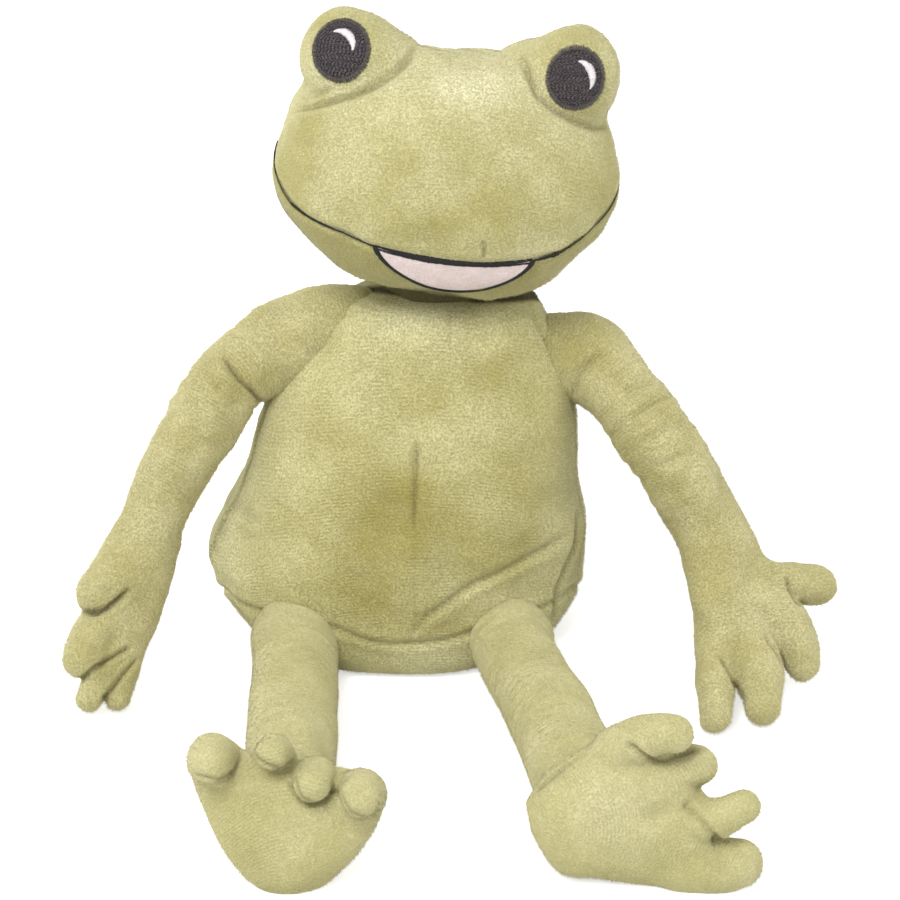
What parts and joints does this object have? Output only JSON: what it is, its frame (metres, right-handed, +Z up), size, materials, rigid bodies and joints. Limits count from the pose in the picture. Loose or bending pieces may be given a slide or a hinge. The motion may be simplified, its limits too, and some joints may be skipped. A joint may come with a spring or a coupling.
{
  "type": "plush frog",
  "caption": "Seated plush frog with domed embroidered eyes, a wide smile, a pear-shaped body, and soft arms and legs that turn on stuffed joints.",
  "frame": {"origin": "centre of the flat face under the seat, on the floor", "axes": "+Z up; the frog faces -Y, with its legs along -Y, and +X is its left side"},
  "size_m": [0.2994, 0.2544, 0.2528],
  "materials": {
    "plush": "short velvety pile",
    "plush_belly": "short velvety pile",
    "plush_shade": "short velvety pile",
    "eye_thread": "satin embroidery",
    "glint_thread": "satin embroidery",
    "mouth_cloth": "smooth fleece",
    "line_thread": "satin embroidery",
    "stuffing": "loose fibre",
    "beans": "small plastic pellets in a cloth pouch"
  },
  "bodies": {
    "torso": {"base_panel": "plush", "belly_panel": "plush_belly", "back_panel_left": "plush", "back_panel_right": "plush", "body_stuffing": "stuffing", "bean_pouch": "beans"},
    "neck": {"neck_stub": "plush_shade"},
    "head": {"face_panel": "plush", "chin_panel": "plush", "head_back_panel_left": "plush", "head_back_panel_right": "plush", "head_stuffing": "stuffing", "eye_dome_left": "plush", "eye_dome_right": "plush", "eye_disc_left": "eye_thread", "eye_disc_right": "eye_thread", "eye_glint_left": "glint_thread", "eye_glint_right": "glint_thread", "smile_thread": "line_thread", "lip_thread": "line_thread", "mouth_patch": "mouth_cloth"},
    "arm_root_right": {"arm_root_right": "plush_shade"},
    "upper_arm_right": {"upper_arm_cloth_right": "plush", "upper_arm_stuffing_right": "stuffing"},
    "forearm_right": {"forearm_and_hand_right": "plush", "forearm_stuffing_right": "stuffing"},
    "leg_root_right": {"leg_root_right": "plush_shade"},
    "leg_right": {"leg_cloth_right": "plush", "leg_stuffing_right": "stuffing"},
    "foot_right": {"foot_sole_right": "plush", "foot_top_right": "plush", "foot_filling_right": "beans"},
    "arm_root_left": {"arm_root_left": "plush_shade"},
    "upper_arm_left": {"upper_arm_cloth_left": "plush", "upper_arm_stuffing_left": "stuffing"},
    "forearm_left": {"forearm_and_hand_left": "plush", "forearm_stuffing_left": "stuffing"},
    "leg_root_left": {"leg_root_left": "plush_shade"},
    "leg_left": {"leg_cloth_left": "plush", "leg_stuffing_left": "stuffing"},
    "foot_left": {"foot_sole_left": "plush", "foot_top_left": "plush", "foot_filling_left": "beans"}
  },
  "joints": [
    {"name": "neck_turn", "type": "hinge", "parent": "torso", "child": "neck", "pos_m": [0.01512, 0.009, 0.1435], "axis": [0, 0, 1], "range_deg": [-45, 45]},
    {"name": "neck_nod", "type": "hinge", "parent": "neck", "child": "head", "pos_m": [0.01512, 0.009, 0.1435], "axis": [1, 0, 0], "range_deg": [-20, 10]},
    {"name": "shoulder_swing_right", "type": "hinge", "parent": "torso", "child": "arm_root_right", "pos_m": [-0.04906, 0.00195, 0.11804], "axis": [1, 0, 0], "range_deg": [-80, 25]},
    {"name": "shoulder_lift_right", "type": "hinge", "parent": "arm_root_right", "child": "upper_arm_right", "pos_m": [-0.04906, 0.00195, 0.11804], "axis": [0, 1, 0], "range_deg": [-5, 70]},
    {"name": "elbow_right", "type": "hinge", "parent": "upper_arm_right", "child": "forearm_right", "pos_m": [-0.08211, -0.02041, 0.09799], "axis": [-0.797, 0.5286, 0.2922], "range_deg": [-10, 60]},
    {"name": "hip_splay_right", "type": "hinge", "parent": "torso", "child": "leg_root_right", "pos_m": [-0.04387, -0.04679, 0.01534], "axis": [0, 0, 1], "range_deg": [-30, 8]},
    {"name": "hip_swing_right", "type": "hinge", "parent": "leg_root_right", "child": "leg_right", "pos_m": [-0.04387, -0.04679, 0.01534], "axis": [-1, 0, 0], "range_deg": [-50, 20]},
    {"name": "ankle_right", "type": "hinge", "parent": "leg_right", "child": "foot_right", "pos_m": [-0.04213, -0.16319, 0.01976], "axis": [-0.9999, -0.015, 0], "range_deg": [-30, 15]},
    {"name": "shoulder_swing_left", "type": "hinge", "parent": "torso", "child": "arm_root_left", "pos_m": [0.06675, 0.00173, 0.11347], "axis": [1, 0, 0], "range_deg": [-80, 25]},
    {"name": "shoulder_lift_left", "type": "hinge", "parent": "arm_root_left", "child": "upper_arm_left", "pos_m": [0.06675, 0.00173, 0.11347], "axis": [0, -1, 0], "range_deg": [-5, 70]},
    {"name": "elbow_left", "type": "hinge", "parent": "upper_arm_left", "child": "forearm_left", "pos_m": [0.09852, -0.02314, 0.09529], "axis": [-0.8461, -0.3767, -0.377], "range_deg": [-10, 60]},
    {"name": "hip_splay_left", "type": "hinge", "parent": "torso", "child": "leg_root_left", "pos_m": [0.04013, -0.04679, 0.01534], "axis": [0, 0, -1], "range_deg": [-30, 8]},
    {"name": "hip_swing_left", "type": "hinge", "parent": "leg_root_left", "child": "leg_left", "pos_m": [0.04013, -0.04679, 0.01534], "axis": [-1, 0, 0], "range_deg": [-50, 20]},
    {"name": "ankle_left", "type": "hinge", "parent": "leg_left", "child": "foot_left", "pos_m": [0.06185, -0.1611, 0.02094], "axis": [-0.9824, -0.1867, 0], "range_deg": [-30, 15]}
  ]
}
